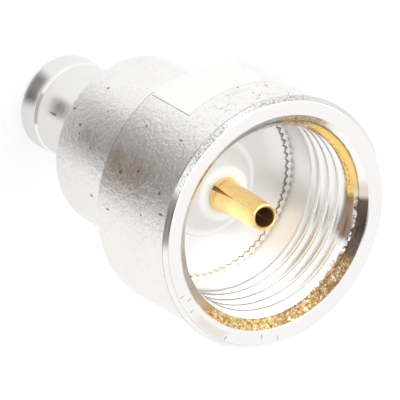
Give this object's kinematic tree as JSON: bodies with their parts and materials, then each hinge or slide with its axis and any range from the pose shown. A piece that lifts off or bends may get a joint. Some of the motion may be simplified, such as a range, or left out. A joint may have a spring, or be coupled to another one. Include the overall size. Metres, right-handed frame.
{
  "type": "smb adapter",
  "caption": "Silver-plated coaxial adapter: fixed internally threaded shell round a slotted gold socket contact at one end, slim push-on jack with a centre pin at the other.",
  "frame": {"origin": "centre of the tail lip's end face, the face it stands on", "axes": "+Z along the connector's axis from the tail to the threaded mouth, X across the two wrench flats"},
  "size_m": [0.0098, 0.0098, 0.014],
  "materials": {
    "silver_plate": "silver plate on turned brass, satin and tumbled, with small dents",
    "white_insulator": "smooth waxy white fluoroplastic",
    "gold_plate": "polished gold plate on a sprung contact"
  },
  "bodies": {
    "root": {"coupling_shell": "silver_plate", "rear_body": "silver_plate", "front_insulator": "white_insulator", "rear_insulator": "white_insulator", "centre_contact": "gold_plate"}
  },
  "joints": []
}
